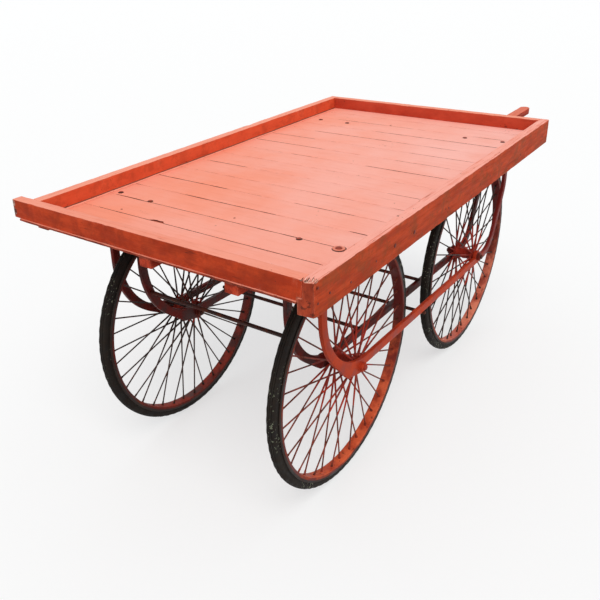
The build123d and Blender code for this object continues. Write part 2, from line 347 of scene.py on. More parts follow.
# %% Rust bloom
rust_bloom, given, result = effect_group(
    "rust_bloom",
    [("Vector", "NodeSocketVector", None), ("Scale", "NodeSocketFloat", 25.0),
     ("Amount", "NodeSocketFloat", 0.5)],
    [("Color", "NodeSocketColor"), ("Mask", "NodeSocketFloat"), ("Height", "NodeSocketFloat")])
blotch = cloud(rust_bloom, given["Vector"], given["Scale"], 6.0, 0.68)
crumbs = cloud(rust_bloom, given["Vector"], 420.0, 3.0, 0.7)
level = sums(rust_bloom, "SUBTRACT", 0.72, sums(rust_bloom, "MULTIPLY", given["Amount"], 0.3))
rust_mask = spread(rust_bloom, sums(rust_bloom, "SUBTRACT", blotch, level), -0.02, 0.07)
rust_colour = between(rust_bloom, spread(rust_bloom, crumbs, 0.35, 0.65), colour(62, 30, 20),
                      colour(128, 62, 34))
rust_bloom.links.new(rust_colour, result["Color"])
rust_bloom.links.new(rust_mask, result["Mask"])
rust_bloom.links.new(sums(rust_bloom, "MULTIPLY", rust_mask, crumbs), result["Height"])
print("rust_bloom", len(rust_bloom.nodes), "nodes")

# %% [markdown]
# ## Effects: sun fade with painted top light, road dust and broken spots
# Every face that looks up is painted a pale salmon: partly paint faded by strong sun, and partly
# painted top light, for those faces get the most light. So the mask follows the face's own
# direction, with a noise to make its border ragged. Dust lies in patches with specks in them. A
# broken spot is a ball round one place, with a ragged edge, for a corner where the wood has split
# away: no noise could put it at that very corner.

# %% Sun fade with painted top light, road dust and broken spots
fade_and_top_light, given, result = effect_group(
    "fade_and_top_light", [("Vector", "NodeSocketVector", None)], [("Mask", "NodeSocketFloat")])
direction = put(fade_and_top_light, "ShaderNodeTexCoord", out="Normal")
upward = put(fade_and_top_light, "ShaderNodeSeparateXYZ", {0: direction}, out="Z")
ragged = sums(fade_and_top_light, "ADD", upward,
              sums(fade_and_top_light, "MULTIPLY",
                   sums(fade_and_top_light, "SUBTRACT", cloud(fade_and_top_light, given["Vector"], 60.0, 4.0), 0.5),
                   0.5))
fade_and_top_light.links.new(spread(fade_and_top_light, ragged, 0.45, 0.8), result["Mask"])

road_dust, given, result = effect_group(
    "road_dust",
    [("Vector", "NodeSocketVector", None), ("Amount", "NodeSocketFloat", 0.3)],
    [("Mask", "NodeSocketFloat")])
drift = spread(road_dust, cloud(road_dust, given["Vector"], 14.0, 5.0, 0.6), 0.35, 0.75)
specks = spread(road_dust, cloud(road_dust, given["Vector"], 300.0, 3.0, 0.7), 0.45, 0.75)
road_dust.links.new(
    sums(road_dust, "MULTIPLY",
         sums(road_dust, "ADD", sums(road_dust, "MULTIPLY", drift, 0.6),
              sums(road_dust, "MULTIPLY", sums(road_dust, "MULTIPLY", specks, drift), 0.8)),
         given["Amount"], True), result["Mask"])

broken_spot, given, result = effect_group(
    "broken_spot",
    [("Vector", "NodeSocketVector", None), ("Centre", "NodeSocketVector", (0, 0, 0)),
     ("Radius", "NodeSocketFloat", 0.02)],
    [("Mask", "NodeSocketFloat")])
away = put(broken_spot, "ShaderNodeVectorMath", {0: given["Vector"], 1: given["Centre"]},
           out="Value", operation="DISTANCE")
share = sums(broken_spot, "DIVIDE", away, given["Radius"])
torn = sums(broken_spot, "ADD", share,
            sums(broken_spot, "MULTIPLY", cloud(broken_spot, given["Vector"], 90.0, 4.0, 0.7), 0.9))
broken_spot.links.new(spread(broken_spot, torn, 1.45, 1.25), result["Mask"])
print("fade, dust and broken spots ready")

# %% [markdown]
# ## Paint on timber
# Every board wears the same red-orange paint, but it looks different by place. Faces that look up
# are faded to salmon and painted lighter as top light, sides keep a deep brick red with darker
# brush bands, and edges are rubbed pale. One function builds such a material from the shared
# effects. Each board gets its own grain and brush direction, because planks run across the cart and
# rails run along it. After the name, a paint gets the scale of its grain and of its brush bands
# along the three axes, its side colour, light and dark, and its top colour, plain and
# sun-bleached, both of which also carry the painted top light.

# %% Paint on timber
pale_wood = colour(248, 196, 176)
dark_wood = colour(92, 38, 24)
dark_paint = colour(140, 48, 22)


def timber_paint(name, grain, strokes, side, side_dark, top, top_light, edge_amount=0.8,
                 edge_colour=colour(236, 140, 110), fade_and_light=1.0, broken=(), dirt=0.5, banding=1.0,
                 grain_mark=0.3, cracks=0.6, relief=0.35, mottle=0.0, mottle_colour=dark_paint,
                 paler_way=(0, 0, 0)):
    material = bpy.data.materials.new(name)
    material.use_nodes = True
    tree = material.node_tree
    shader = tree.nodes["Principled BSDF"]
    place = put(tree, "ShaderNodeTexCoord", out="Object")
    fibres = use(tree, wood_grain, {"Vector": stretched(tree, place, grain)})
    brush = use(tree, brush_strokes, {"Vector": stretched(tree, place, strokes, (3, 1, 2))})
    tone = spread(tree, brush["Tone"], 0.64, 0.36)
    flat = between(tree, sums(tree, "MULTIPLY", tone, banding), side, side_dark)
    flat = between(tree, sums(tree, "MULTIPLY", spread(tree, fibres["Grain"], 0.5, 0.75),
                              grain_mark * 0.8), flat, side_dark)
    blots = spread(tree, cloud(tree, stretched(tree, place, (1, 1, 1), (2, 7, 4)), 17.0, 6.0, 0.68),
                   0.45, 0.62)
    flat = between(tree, sums(tree, "MULTIPLY", blots, mottle), flat, mottle_colour)
    # the paint grows paler along one direction
    way = put(tree, "ShaderNodeVectorMath", {0: place, 1: paler_way}, out="Value",
              operation="DOT_PRODUCT")
    drift = sums(tree, "ADD", way, spread(tree, cloud(tree, place, 4.0, 4.0), 0.3, 0.7, 0.3, 0.7),
                 True)
    faded_and_lit_top = between(tree, drift, top, top_light)
    faded_and_lit_top = between(tree, sums(tree, "MULTIPLY", spread(tree, fibres["Grain"], 0.48, 0.70),
                               grain_mark), faded_and_lit_top, side)
    # painted top light: faces that look up get the pale top paint, partly sun fade and partly light
    lit_top = use(tree, fade_and_top_light, {"Vector": place})["Mask"]
    paint = between(tree, sums(tree, "MULTIPLY", lit_top, fade_and_light), flat, faded_and_lit_top)
    edges = use(tree, worn_edges, {"Vector": place, "Width": 0.004, "Amount": edge_amount})["Mask"]
    paint = between(tree, edges, paint, edge_colour)
    spots = use(tree, flaked_spots, {"Vector": place, "Scale": 75.0, "Amount": dirt})["Mask"]
    paint = between(tree, sums(tree, "MULTIPLY", spots, 0.75), paint, dark_wood)
    paint = between(tree, sums(tree, "MULTIPLY", fibres["Cracks"], cracks), paint, dark_wood)
    height = sums(tree, "ADD", sums(tree, "MULTIPLY", fibres["Grain"], 0.5),
                  sums(tree, "MULTIPLY", brush["Bristles"], 0.35))
    height = sums(tree, "SUBTRACT", height, sums(tree, "MULTIPLY", spots, 0.5))
    height = sums(tree, "SUBTRACT", height, sums(tree, "MULTIPLY", fibres["Cracks"], 0.6))
    for centre, radius in broken:
        torn = use(tree, broken_spot, {"Vector": place, "Centre": centre, "Radius": radius})["Mask"]
        paint = between(tree, torn, paint,
                        between(tree, spread(tree, fibres["Grain"], 0.42, 0.62), dark_wood,
                                pale_wood))
        height = sums(tree, "SUBTRACT", height, torn)
    rough = spread(tree, fibres["Grain"], 0.3, 0.7, 0.62, 0.82)
    bump = put(tree, "ShaderNodeBump", {"Height": height, "Strength": relief, "Distance": 0.0012})
    tree.links.new(paint, shader.inputs["Base Color"])
    tree.links.new(rough, shader.inputs["Roughness"])
    tree.links.new(bump, shader.inputs["Normal"])
    shader.inputs["Specular IOR Level"].default_value = 0.2
    return material


print("timber_paint ready")

# %% The boards' paints
deck_paint = timber_paint(
    "deck_paint", (95, 5, 60), (55, 4, 20), colour(206, 88, 60), colour(160, 58, 36),
    colour(250, 152, 124), colour(254, 187, 174), edge_amount=0.5, dirt=0.15, grain_mark=0.12,
    cracks=0.1, relief=0.2, paler_way=(0.3, -0.8, 0))
# the nosing is painted darker than the boards: painted shade, for its front face lies under the
# front board
nosing_paint = timber_paint(
    "nosing_paint", (90, 5, 90), (30, 14, 30), colour(172, 66, 42), colour(110, 38, 25),
    colour(230, 134, 108), colour(240, 152, 128), dirt=0.4)
rail_paint = timber_paint(
    "rail_paint", (5, 90, 90), (9, 60, 60), colour(215, 81, 39), colour(168, 55, 26),
    colour(250, 162, 142), colour(253, 178, 162), edge_colour=colour(249, 164, 142), banding=0.7,
    dirt=0.45, grain_mark=0.65, mottle=0.6, mottle_colour=colour(150, 74, 38), relief=0.5,
    broken=[((-1.051, -0.482, 0.857), 0.009), ((-1.040, -0.498, 0.857), 0.007)])
rail_end_paint = timber_paint(
    "rail_end_paint", (60, 60, 60), (30, 30, 14), colour(206, 82, 48), colour(150, 54, 32),
    colour(236, 140, 112), colour(246, 158, 132), dirt=0.7)
left_rail_paint = timber_paint(
    "left_rail_paint", (5, 90, 90), (14, 60, 40), colour(228, 92, 54), colour(206, 74, 42),
    colour(245, 152, 126), colour(252, 168, 144), banding=0.45, grain_mark=0.25, dirt=0.3,
    mottle=0.3)
front_board_paint = timber_paint(
    "front_board_paint", (90, 5, 90), (30, 14, 30), colour(212, 74, 34), colour(170, 51, 22),
    colour(240, 142, 114), colour(252, 166, 144), banding=0.8, dirt=0.3, mottle=0.35,
    broken=[((-1.054, -0.466, 0.857), 0.008), ((-1.056, 0.5, 0.846), 0.012),
            ((-1.056, 0.5, 0.822), 0.014)])
rear_board_paint = timber_paint(
    "rear_board_paint", (90, 5, 90), (30, 14, 30), colour(196, 72, 47), colour(172, 57, 35),
    colour(240, 144, 116), colour(250, 162, 136), banding=0.6, grain_mark=0.2, dirt=0.3)
beam_paint = timber_paint(
    "beam_paint", (5, 90, 90), (9, 60, 60), colour(206, 70, 40), colour(144, 44, 26),
    colour(214, 104, 78), colour(228, 122, 96), edge_amount=0.5)
bearer_paint = timber_paint(
    "bearer_paint", (90, 5, 90), (60, 9, 60), colour(200, 66, 38), colour(140, 42, 25),
    colour(214, 104, 78), colour(228, 122, 96), edge_amount=0.5)
splinter_wood = timber_paint(
    "splinter_wood", (5, 90, 90), (60, 40, 6), colour(236, 150, 126), colour(206, 112, 88),
    colour(252, 192, 172), colour(255, 208, 192), edge_amount=0.3, dirt=0.2)
# a dark paint for seams, splits and the foot of the rim: partly dirt, partly painted shade
dirt_and_shade = timber_paint(
    "dirt_and_shade", (90, 5, 90), (60, 9, 60), colour(104, 46, 32), colour(58, 28, 20),
    colour(120, 58, 42), colour(140, 70, 52), edge_amount=0.1)
# the bite's floor is dark: partly darker wood, and partly painted shade in the notch
bite_wood = timber_paint(
    "bite_wood", (90, 5, 90), (60, 9, 60), colour(146, 62, 44), colour(96, 40, 28),
    colour(176, 82, 60), colour(196, 100, 76), edge_amount=0.2)
print("paints for the boards, beams and splinters ready")

# %% [markdown]
# ## Paint and rust on iron
# The bars, rims and ties are black iron brushed with the same paint. It clings less well there, so
# it is thin and darker, chipped along the edges, and rust comes through in patches. The function
# takes the colours and how much rust, so a bright rim and a dark bar are the same recipe. Two
# extras paint shade: the far end of the near bar turns to a darker red, and the faces of the rims
# that look down are darker, the more so the more they look down.

# %% Paint and rust on iron
# a darker red for the painted shade at the near bar's far end
shade_red = colour(126, 32, 26)
dust_on_iron = colour(150, 122, 100)


def iron_paint(name, paint_colour, paint_dark, edge_colour, rust_amount=0.4, rust_scale=28.0,
               dust_amount=0.06, edge_amount=0.6, shaded_from=None, shade_below=None):
    material = bpy.data.materials.new(name)
    material.use_nodes = True
    tree = material.node_tree
    shader = tree.nodes["Principled BSDF"]
    place = put(tree, "ShaderNodeTexCoord", out="Object")
    patches = cloud(tree, place, 16.0, 4.0, 0.6)
    paint = between(tree, spread(tree, patches, 0.38, 0.64), paint_dark, paint_colour)
    if shaded_from:
        # painted shade: from here to there along the cart the paint turns to a darker red
        far = put(tree, "ShaderNodeSeparateXYZ", {0: place}, out="X")
        paint = between(tree, spread(tree, far, *shaded_from), paint, shade_red)
    if shade_below:
        # painted shade: the more a face looks down, the more of the dark colour it gets, with a
        # ragged border
        facing = put(tree, "ShaderNodeTexCoord", out="Normal")
        upward = put(tree, "ShaderNodeSeparateXYZ", {0: facing}, out="Z")
        ragged = sums(tree, "ADD", upward, spread(tree, patches, 0.3, 0.7, -0.3, 0.3))
        paint = between(tree, spread(tree, ragged, 0.85, -0.15), paint, shade_below)
    rust = use(tree, rust_bloom, {"Vector": place, "Scale": rust_scale, "Amount": rust_amount})
    paint = between(tree, sums(tree, "MULTIPLY", rust["Mask"], 0.85), paint, rust["Color"])
    edges = use(tree, worn_edges, {"Vector": place, "Width": 0.002, "Amount": edge_amount})["Mask"]
    paint = between(tree, edges, paint, edge_colour)
    dust = use(tree, road_dust, {"Vector": place, "Amount": dust_amount})["Mask"]
    paint = between(tree, dust, paint, dust_on_iron)
    brush = cloud(tree, stretched(tree, place, (90, 90, 90)), 1.0, 3.0)
    height = sums(tree, "ADD", sums(tree, "MULTIPLY", rust["Height"], 0.8),
                  sums(tree, "MULTIPLY", brush, 0.25))
    bump = put(tree, "ShaderNodeBump", {"Height": height, "Strength": 0.4, "Distance": 0.0008})
    rough = sums(tree, "ADD", spread(tree, patches, 0.3, 0.7, 0.42, 0.7),
                 sums(tree, "MULTIPLY", rust["Mask"], 0.22), True)
    tree.links.new(paint, shader.inputs["Base Color"])
    tree.links.new(rough, shader.inputs["Roughness"])
    tree.links.new(bump, shader.inputs["Normal"])
    shader.inputs["Specular IOR Level"].default_value = 0.22
    return material


print("iron_paint ready")

# %% The ironwork's paints
near_bar_paint = iron_paint("near_bar_paint", colour(212, 74, 36), colour(174, 52, 25),
                            colour(228, 110, 72), rust_amount=0.15, dust_amount=0.0,
                            shaded_from=(0.26, 0.42))
# the other bars: paint weathered darker, and painted shade for their place under the deck
weathered_and_shaded_bar_paint = iron_paint("weathered_and_shaded_bar_paint", colour(118, 26, 17), colour(70, 17, 12),
                            colour(150, 48, 30), rust_amount=0.25)
tie_paint = iron_paint("tie_paint", colour(74, 30, 22), colour(44, 22, 17),
                       colour(128, 66, 44), rust_amount=0.6)
# the last colour of each rim paint is painted shade for the rim's faces that look down
maroon_rim_paint = iron_paint("maroon_rim_paint", colour(158, 52, 36), colour(84, 24, 17),
                              colour(212, 116, 88), rust_amount=0.4, rust_scale=45.0,
                              dust_amount=0.08, shade_below=colour(74, 18, 14))
orange_rim_paint = iron_paint("orange_rim_paint", colour(232, 104, 62), colour(194, 72, 42),
                              colour(232, 122, 84), rust_amount=0.42, rust_scale=60.0,
                              dust_amount=0.1, shade_below=colour(104, 26, 20))
faded_rim_paint = iron_paint("faded_rim_paint", colour(240, 138, 108), colour(204, 92, 70),
                             colour(240, 160, 132), rust_amount=0.36, rust_scale=45.0,
                             dust_amount=0.12, shade_below=colour(112, 28, 24))
rim_side_brown = iron_paint("rim_side_brown", colour(44, 26, 21), colour(26, 19, 17),
                            colour(96, 50, 36), rust_amount=0.35, rust_scale=80.0,
                            dust_amount=0.1, edge_amount=0.3)
hub_paint = iron_paint("hub_paint", colour(190, 54, 34), colour(136, 38, 26),
                       colour(204, 88, 58), rust_amount=0.3, rust_scale=60.0)
nut_paint = iron_paint("nut_paint", colour(140, 42, 28), colour(84, 28, 20), colour(176, 74, 50),
                       rust_amount=0.45, rust_scale=90.0)
# the washer's top is the deck tops' pale salmon, with their painted top light
washer_paint = iron_paint("washer_paint", colour(240, 148, 122), colour(222, 118, 92),
                          colour(250, 168, 144), rust_amount=0.25, rust_scale=160.0)
bolt_paint = iron_paint("bolt_paint", colour(176, 76, 56), colour(112, 44, 32),
                        colour(226, 124, 98), rust_amount=0.4, rust_scale=160.0)
print("paints for bars, ties, rims, hubs, nuts and bolts ready")

# %% [markdown]
# ## Bare steel and rubber
# Spokes, axle ends, nails and foot bolts are bare or nearly so: dull grey-brown steel with rust,
# and some red where a brush touched them. Real rusty steel is a mix of a metal and a crust, so
# Metallic drops where the rust mask rises. The tyres are solid black rubber, greyed by road dust,
# with pale specks of grit in patches.

# %% Bare steel
def rusty_steel(name, steel_colour, steel_dark, rust_amount, metal=0.7):
    material = bpy.data.materials.new(name)
    material.use_nodes = True
    tree = material.node_tree
    shader = tree.nodes["Principled BSDF"]
    place = put(tree, "ShaderNodeTexCoord", out="Object")
    rust = use(tree, rust_bloom, {"Vector": place, "Scale": 55.0, "Amount": rust_amount})
    sheen = between(tree, spread(tree, cloud(tree, place, 40.0, 4.0), 0.35, 0.65), steel_dark,
                    steel_colour)
    finish = between(tree, rust["Mask"], sheen, rust["Color"])
    bare = sums(tree, "MULTIPLY", sums(tree, "SUBTRACT", 1.0, rust["Mask"]), metal)
    rough = sums(tree, "ADD", sums(tree, "MULTIPLY", rust["Mask"], 0.4), 0.45, True)
    bump = put(tree, "ShaderNodeBump", {"Height": rust["Height"], "Strength": 0.5,
                                        "Distance": 0.0006})
    shader.inputs["Specular IOR Level"].default_value = 0.2
    tree.links.new(finish, shader.inputs["Base Color"])
    tree.links.new(bare, shader.inputs["Metallic"])
    tree.links.new(rough, shader.inputs["Roughness"])
    tree.links.new(bump, shader.inputs["Normal"])
    return material


spoke_finish = rusty_steel("spoke_finish", colour(72, 52, 46), colour(44, 30, 26), 0.5, 0.3)
near_spoke_finish = rusty_steel("near_spoke_finish", colour(150, 60, 42), colour(96, 44, 34), 0.55,
                                0.1)
nut_finish = rusty_steel("nut_finish", colour(96, 52, 42), colour(58, 32, 26), 0.6, 0.35)
nail_finish = rusty_steel("nail_finish", colour(84, 34, 22), colour(46, 22, 15), 0.6, 0.0)
rim_nail_finish = rusty_steel("rim_nail_finish", colour(132, 44, 27), colour(88, 32, 21), 0.15,
                              0.0)
print("steel finishes ready")

# %% Tyre rubber
tyre_rubber = bpy.data.materials.new("tyre_rubber")
tyre_rubber.use_nodes = True
tree = tyre_rubber.node_tree
shader = tree.nodes["Principled BSDF"]
place = put(tree, "ShaderNodeTexCoord", out="Object")
scuffs = cloud(tree, place, 55.0, 5.0, 0.65)
rubber = between(tree, spread(tree, scuffs, 0.35, 0.7), colour(14, 9, 7), colour(34, 25, 20))
dust = use(tree, road_dust, {"Vector": place, "Amount": 0.12})["Mask"]
rubber = between(tree, dust, rubber, colour(92, 84, 70))
grit = spread(tree, cloud(tree, place, 150.0, 2.0, 0.5), 0.62, 0.66)
grit_patch = spread(tree, cloud(tree, place, 9.0, 2.0, 0.5), 0.46, 0.58)
rubber = between(tree, sums(tree, "MULTIPLY", sums(tree, "MULTIPLY", grit, grit_patch), 0.75),
                 rubber, colour(150, 154, 130))
tree.links.new(rubber, shader.inputs["Base Color"])
tree.links.new(spread(tree, scuffs, 0.3, 0.7, 0.6, 0.85), shader.inputs["Roughness"])
tree.links.new(put(tree, "ShaderNodeBump", {"Height": cloud(tree, place, 180.0, 5.0, 0.7),
                                            "Strength": 0.45, "Distance": 0.0009}),
               shader.inputs["Normal"])
shader.inputs["Specular IOR Level"].default_value = 0.2
print("tyre rubber ready")

# %% [markdown]
# ## Small helpers for meshes
# Most pieces here are either drawn along a line (boards, rods, spokes) or turned round an axis
# (tyres, rims, hubs). `skin` joins a row of rings into a surface, which covers both, and `joined`
# puts several such surfaces into one piece. `settle` turns the points into an object, shades it
# smooth but for its true edges, and hands it to the body that carries it. Where paint stops at an
# edge, `other` gives a second material and the rule that says which faces it covers. `jitter` is
# the unevenness of handmade things.

# %% Helpers for surfaces
mm = 0.001


def skin(rings, loop=False):
    # a loop closes on itself, and anything else is closed at both ends
    count = len(rings[0])
    points = [p for ring in rings for p in ring]
    faces = []
    for i in range(len(rings) if loop else len(rings) - 1):
        here, there = i * count, (i + 1) % len(rings) * count
        faces += [(here + j, here + (j + 1) % count, there + (j + 1) % count, there + j)
                  for j in range(count)]
    if not loop:
        faces.append(tuple(range(count - 1, -1, -1)))
        faces.append(tuple(range(len(points) - count, len(points))))
    return points, faces


def joined(parts):
    points, faces = [], []
    for part_points, part_faces in parts:
        start = len(points)
        points += part_points
        faces += [tuple(start + i for i in face) for face in part_faces]
    return points, faces


print("skin and joined ready, one mm is", mm, "m")

# %% Helpers for pieces
def settle(name, shape, material, body, replaced=(), sharp=35, other=None):
    mesh = bpy.data.meshes.new(name)
    mesh.from_pydata([tuple(p) for p in shape[0]], [], shape[1])
    work = bmesh.new()
    work.from_mesh(mesh)
    bmesh.ops.recalc_face_normals(work, faces=work.faces)
    work.to_mesh(mesh)
    work.free()
    mesh.polygons.foreach_set("use_smooth", [True] * len(mesh.polygons))
    mesh.set_sharp_from_angle(angle=radians(sharp))
    mesh.materials.append(material)
    if other:
        mesh.materials.append(other[0])
        for face in mesh.polygons:
            if other[1](face.center, face.normal):
                face.material_index = 1
    piece = bpy.data.objects.new(name, mesh)
    bpy.context.scene.collection.objects.link(piece)
    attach(piece, body)
    if replaced:
        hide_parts(*replaced)
    print(name, len(mesh.polygons), "faces")
    return piece


def jitter(x, y, z, size=1.0):
    # smooth noise from -1 to 1 that is the same on every run
    return noise.noise(Vector((x, y, z)) / size)


print("settle and jitter ready")

# %% [markdown]
# ## A worn timber
# A sawn board has crisp corners when it is new. After years of loads its edges are rounded and
# nibbled, its faces wave a little, and its ends are softened. `timber` sweeps a polygon with
# rounded corners along the board in short steps, and moves the corner points inwards by noise.
# A cube with a Bevel modifier would be quicker, but all its edges would be alike. The polygon may
# change along the board, which is how a seam can open and close.

# %% A rounded section
corner_steps = 3          # how many steps round each corner
side_spacing = 0.022      # the distance between points along a side


def rounded_section(corners, radius):
    # points round a polygon: (place, way in, how much of a corner it is)
    count = len(corners)
    area = sum(x * next_y - next_x * y
               for (x, y), (next_x, next_y) in zip(corners, corners[1:] + corners[:1]))
    turn = 1 if area > 0 else -1
    section = []
    for i in range(count):
        before, here, after = (Vector(corners[(i + k) % count]) for k in (-1, 0, 1))
        back, ahead = (before - here).normalized(), (after - here).normalized()
        bend = -turn * (back.x * ahead.y - back.y * ahead.x)
        inward = (back + ahead).normalized() * (1 if bend > 0 else -1)
        reach = min(radius, (before - here).length * 0.45, (after - here).length * 0.45)
        first, last = here + back * reach, here + ahead * reach
        for k in range(corner_steps + 1):
            share = k / corner_steps
            point = first * (1 - share) ** 2 + here * 2 * share * (1 - share) + last * share ** 2
            section.append((point, inward, 1.0 if bend > 0 else 0.0))
        side_start = here + ahead * reach
        side_end = after - ahead * min(radius, (after - here).length * 0.45)
        side_in = Vector((-ahead.y, ahead.x)) * turn
        pieces = max(1, int((side_end - side_start).length / side_spacing))
        for k in range(1, pieces):
            section.append((side_start.lerp(side_end, k / pieces), side_in, 0.0))
    return section


print("corners get", corner_steps, "steps each")

# %% Sweeping a timber
def timber(corners_at, start, end, place, seed, radius=0.0016, wear=0.0011, step=0.011,
           chips=(), extra_stops=()):
    # chips: (along, corner place in the section, reach along, depth)
    rings = []
    counts = None
    stops = [start, start + radius * 0.3, start + radius]
    pieces = max(2, round((end - start - 2 * radius) / step))
    stops += [start + radius + (end - start - 2 * radius) * k / pieces for k in range(1, pieces)]
    stops += [end - radius, end - radius * 0.3, end]
    for stop in sorted(stops + list(extra_stops)):
        near_end = min(stop - start, end - stop)
        tuck = radius * (1 - min(1.0, near_end / radius)) ** 2
        section = rounded_section(corners_at(stop), radius)
        if counts is None:
            counts = len(section)
        section = section[:counts]
        ring = []
        for point, inward, corner in section:
            nibble = max(0.0, jitter(stop, point.x * 9 + seed, point.y * 9, 0.013) - 0.15)
            nibble += 0.8 * max(0.0, jitter(stop, seed + point.x * 7, point.y * 7, 0.045))
            wave = 0.00022 * jitter(stop, point.x + seed, point.y, 0.09)
            move = tuck + corner * wear * nibble + wave
            for along, corner_place, reach, depth in chips:
                away = ((stop - along) / reach) ** 2 + ((point - Vector(corner_place)).length
                                                        / max(reach, depth * 2)) ** 2
                if away < 1:
                    ragged = 0.75 + 0.5 * jitter(stop, point.x, point.y, 0.004)
                    move += depth * (1 - away) * ragged
            ring.append(Vector(place(stop, *(point + inward * move))))
        rings.append(ring)
    return skin(rings)


def along_cart(s, u, v):
    return (s, u, v)


def across_cart(s, u, v):
    return (u, s, v)


def box_corners(low_u, high_u, low_v, high_v):
    return [(low_u, low_v), (high_u, low_v), (high_u, high_v), (low_u, high_v)]


print("timber helper ready")

# %% [markdown]
# ## Deck planks
# Fifteen planks lie across the cart and a ripped one closes the front. In the CAD model the
# seams are even. On a real deck some have opened to a dark slot and some are filled with paint,
# and one plank has lost a bite of its edge. The table gives, for each seam, the stretches that
# are open and how far. Each plank's two edges follow it. The faces inside a seam get a dark paint,
# partly dirt and partly painted shade in the slot, and where a seam stands open its rounded edges
# get it too.

# %% Deck sizes and seams
deck_end = 0.828              # from the deck's middle to the ends of the rails
nosing_reach = 0.504          # from the deck's middle to the nosing's left end
nosing_back = -0.7962         # the nosing's back edge and the front plank's front edge
planks_front = -0.7957
nosing_thickness = 0.0065
plank_pitch = 0.1063
plank_seam = 2.3              # mm, the even seam of the CAD model
plank_half = 0.4307
full_planks = 15
seam_closed = 0.00022
deck_low, deck_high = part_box("deck_planks")
deck_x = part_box("beam_middle")[0].x + deck_end
deck_y = deck_high.y - nosing_reach
deck_top = deck_high.z
deck_bottom = deck_low.z
# seam number from the rear: (from y, to y, half the opening in mm), all from the deck's middle
seam_stretches = {
    2: [(-20, 320, 0.8), (-380, -270, 1.25)], 3: [(-390, 80, 1.1)],
    4: [(-110, 290, 1.3), (-300, -110, 0.5)], 5: [(230, 430, 0.8), (-390, -150, 0.5)],
    6: [(130, 450, 1.3), (-350, -150, 0.8)], 7: [(40, 200, 0.45), (-385, -100, 1.3)],
    9: [(230, 400, 1.3), (-390, -290, 0.8)], 10: [(-190, -80, 0.5)],
    11: [(150, 440, 1.3), (-300, -100, 0.8)],
    12: [(130, 220, 1.3), (-110, 130, 0.8), (400, 450, 0.45), (-395, -345, 1.3)],
    13: [(270, 400, 1.5), (-380, 270, 0.8), (-260, -200, 1.4)],
    14: [(-390, 370, 0.6)], 15: [(-390, 400, 0.3)],
}


def seam_half(seam, y):
    open_by = seam_closed + 0.00008 * jitter(seam * 3.1, y, 0, 0.05)
    for low, high, half in seam_stretches.get(seam, ()):
        into = min(y - low * mm, high * mm - y)
        open_by = max(open_by, 1.2 * half * mm * min(1.0, max(0.0, into / 0.02 + 0.5))
                      * (0.85 + 0.3 * jitter(seam, y, 1, 0.03)))
    return open_by


def seam_middle(seam):
    return deck_end - seam * plank_pitch + 0.5 * plank_seam * mm


print(len(seam_stretches), "seams open in places, the top at", round(deck_top, 3), "m")

# %% Deck planks
plank_parts = []
bitten_seam, bite_low, bite_high, bite_depth = 14, 0.111, 0.158, 0.0105
for number in range(1, full_planks + 2):
    lift = 0.0004 * jitter(number * 7.7, 0.5, 0.2)
    front_edge = seam_middle(number) if number <= full_planks else planks_front
    rear_edge = seam_middle(number - 1)

    def plank_corners(y, number=number, lift=lift, front_edge=front_edge, rear_edge=rear_edge):
        low = front_edge + (seam_half(number, y) if number <= full_planks else 0)
        high = rear_edge - (seam_half(number - 1, y) if number > 1 else 0.5 * plank_seam * mm)
        if number == bitten_seam and bite_low < y < bite_high:
            low += bite_depth * min(1.0, (y - bite_low) / 0.006, (bite_high - y) / 0.004) \
                * (0.85 + 0.3 * jitter(y, 1, 2, 0.006))
        return [(deck_x + low, deck_bottom), (deck_x + high, deck_bottom),
                (deck_x + high, deck_top + lift), (deck_x + low, deck_top + lift)]

    corners = (lambda s, f=plank_corners: f(s - deck_y))
    plank_parts.append(timber(corners, deck_y - plank_half, deck_y + plank_half, across_cart,
                              seed=number * 1.7, radius=0.0012, wear=0.0008))


def in_a_seam(place, facing):
    # the faces inside a seam, dark with dirt and painted shade, and the rounded edges too where it
    # stands open
    seam = round((deck_x + deck_end - place.x) / plank_pitch)
    if not 1 <= seam <= full_planks or abs(place.y - deck_y) > plank_half - 0.001:
        return False
    gapes = seam_half(seam, place.y - deck_y) > 0.0004
    return abs(facing.x) > (0.55 if gapes else 0.97)


settle("deck_planks_worn", joined(plank_parts), deck_paint, "cart", ["deck_planks"],
       other=(dirt_and_shade, in_a_seam))

# %% [markdown]
# ## Nosing and the floor of the bite
# A thin nosing lies under the front board and closes the deck's front edge. Where a plank has lost
# a bite of its edge, the gap would show daylight, so a short scrap of wood lies in it, a little
# below the planks' top. Its dark paint is partly darker wood and partly painted shade in the notch.

# %% Nosing and bite floor
nosing = box_corners(deck_low.x, deck_x + nosing_back, deck_bottom,
                     deck_bottom + nosing_thickness)
settle("nosing_worn", timber(lambda s: nosing, deck_y - plank_half, deck_high.y, across_cart,
                             seed=91.0, radius=0.0015, wear=0.0012),
       nosing_paint, "cart")
bite_at = deck_x + seam_middle(bitten_seam)
bite_floor = box_corners(bite_at - 0.001, bite_at + 0.014, deck_bottom + 0.002, deck_top - 0.003)
settle("bite_floor", timber(lambda s: bite_floor, deck_y + bite_low - 0.004,
                            deck_y + bite_high + 0.004, across_cart, seed=17.0, radius=0.0008),
       bite_wood, "cart")

# %% [markdown]
# ## Rails and boards
# The rim is four boards, and the rails at the sides have a deep foot below it. They are swept with
# the same `timber` helper, with chips where a knock has broken the edge. A chip could be cut out
# with a boolean, but pushing the nearby points inwards leaves no hard cut and costs no new faces.
# The near front corner is the worst: the rail's end has split and shows pale wood.

# %% Side rails
rail_drop, rail_step, rail_top = 0.770, 0.812, 0.857
outer_face, inner_face, foot_face = 0.475, 0.443, 0.431


def rail_section(side):
    outer, inner, foot = (deck_y + side * face for face in (outer_face, inner_face, foot_face))
    return [(outer, rail_drop), (foot, rail_drop), (foot, rail_step), (inner, rail_step),
            (inner, rail_top), (outer, rail_top)]


